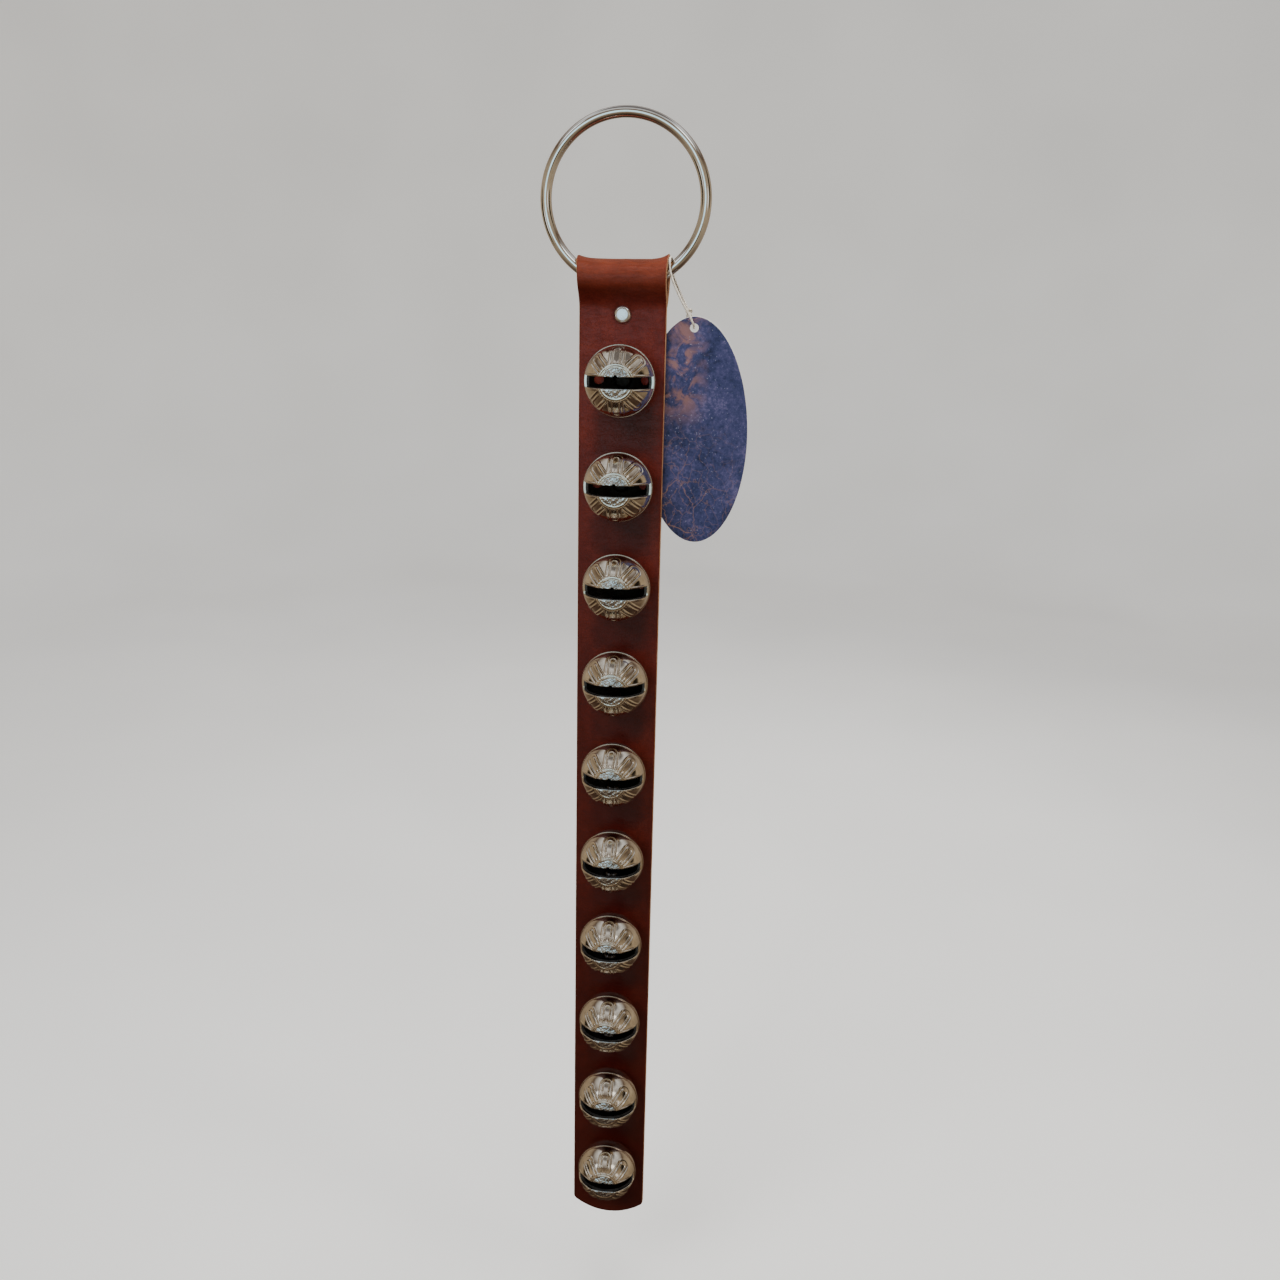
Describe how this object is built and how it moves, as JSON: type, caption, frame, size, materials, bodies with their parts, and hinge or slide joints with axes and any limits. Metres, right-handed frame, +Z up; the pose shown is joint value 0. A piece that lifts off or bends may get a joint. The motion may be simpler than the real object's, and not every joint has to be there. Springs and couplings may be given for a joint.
{
  "type": "sleigh bells",
  "caption": "Leather strap of slotted metal petal bells with loose balls inside, folded over a wire ring to hang on a hook or knob, with an oval hang tag on a string.",
  "frame": {"origin": "the inside top of the ring, in its middle plane, where it bears on a hook or knob", "axes": "+Z up with the strap hanging along -Z, the bells' fronts face -Y, +X to the right as seen from the front"},
  "size_m": [0.0925, 0.0394, 0.5585],
  "materials": {
    "ring_plating": "bright nickel plating on round steel wire",
    "bell_plating": "bright nickel plating on cast metal, embossed petals",
    "strap_leather": "semi-gloss chestnut brown bridle leather, tan cut edges",
    "rivet_metal": "satin nickel plated",
    "pellet_steel": "polished steel ball",
    "tag_card": "matt printed card, mottled winter blue",
    "tag_twine": "thin pale twisted string"
  },
  "bodies": {
    "ring": {"ring": "ring_plating"},
    "strap": {"strap": "strap_leather", "loop_rivet": "rivet_metal", "loop_rivet_burr": "rivet_metal", "bell_rivets": "rivet_metal", "bell_rivet_burrs": "rivet_metal", "bell_01_front_shell": "bell_plating", "bell_01_rear_shell": "bell_plating", "bell_02_front_shell": "bell_plating", "bell_02_rear_shell": "bell_plating", "bell_03_front_shell": "bell_plating", "bell_03_rear_shell": "bell_plating", "bell_04_front_shell": "bell_plating", "bell_04_rear_shell": "bell_plating", "bell_05_front_shell": "bell_plating", "bell_05_rear_shell": "bell_plating", "bell_06_front_shell": "bell_plating", "bell_06_rear_shell": "bell_plating", "bell_07_front_shell": "bell_plating", "bell_07_rear_shell": "bell_plating", "bell_08_front_shell": "bell_plating", "bell_08_rear_shell": "bell_plating", "bell_09_front_shell": "bell_plating", "bell_09_rear_shell": "bell_plating", "bell_10_front_shell": "bell_plating", "bell_10_rear_shell": "bell_plating"},
    "pellet_01": {"bell_01_pellet": "pellet_steel"},
    "pellet_02": {"bell_02_pellet": "pellet_steel"},
    "pellet_03": {"bell_03_pellet": "pellet_steel"},
    "pellet_04": {"bell_04_pellet": "pellet_steel"},
    "pellet_05": {"bell_05_pellet": "pellet_steel"},
    "pellet_06": {"bell_06_pellet": "pellet_steel"},
    "pellet_07": {"bell_07_pellet": "pellet_steel"},
    "pellet_08": {"bell_08_pellet": "pellet_steel"},
    "pellet_09": {"bell_09_pellet": "pellet_steel"},
    "pellet_10": {"bell_10_pellet": "pellet_steel"},
    "tag": {"tag": "tag_card", "tag_string": "tag_twine", "string_knot": "tag_twine"}
  },
  "joints": [
    {"name": "strap_swing", "type": "hinge", "parent": "ring", "child": "strap", "pos_m": [0, 0, -0.063], "axis": [1, 0, 0], "range_deg": [-30, 30]},
    {"name": "pellet_01_roll", "type": "hinge", "parent": "strap", "child": "pellet_01", "pos_m": [0.001, -0.01595, -0.10568], "axis": [0, 1, 0], "continuous": true},
    {"name": "pellet_02_roll", "type": "hinge", "parent": "strap", "child": "pellet_02", "pos_m": [0.001, -0.01595, -0.15108], "axis": [0, 1, 0], "continuous": true},
    {"name": "pellet_03_roll", "type": "hinge", "parent": "strap", "child": "pellet_03", "pos_m": [0.001, -0.01595, -0.19648], "axis": [0, 1, 0], "continuous": true},
    {"name": "pellet_04_roll", "type": "hinge", "parent": "strap", "child": "pellet_04", "pos_m": [0.001, -0.01595, -0.24188], "axis": [0, 1, 0], "continuous": true},
    {"name": "pellet_05_roll", "type": "hinge", "parent": "strap", "child": "pellet_05", "pos_m": [0.001, -0.01595, -0.28728], "axis": [0, 1, 0], "continuous": true},
    {"name": "pellet_06_roll", "type": "hinge", "parent": "strap", "child": "pellet_06", "pos_m": [0.001, -0.01595, -0.33268], "axis": [0, 1, 0], "continuous": true},
    {"name": "pellet_07_roll", "type": "hinge", "parent": "strap", "child": "pellet_07", "pos_m": [0.001, -0.01595, -0.37808], "axis": [0, 1, 0], "continuous": true},
    {"name": "pellet_08_roll", "type": "hinge", "parent": "strap", "child": "pellet_08", "pos_m": [0.001, -0.01595, -0.42348], "axis": [0, 1, 0], "continuous": true},
    {"name": "pellet_09_roll", "type": "hinge", "parent": "strap", "child": "pellet_09", "pos_m": [0.001, -0.01595, -0.46888], "axis": [0, 1, 0], "continuous": true},
    {"name": "pellet_10_roll", "type": "hinge", "parent": "strap", "child": "pellet_10", "pos_m": [0.001, -0.01595, -0.51428], "axis": [0, 1, 0], "continuous": true},
    {"name": "tag_swing", "type": "hinge", "parent": "strap", "child": "tag", "pos_m": [0.02, 0, -0.05943], "axis": [1, 0, 0], "range_deg": [0, 45]}
  ]
}
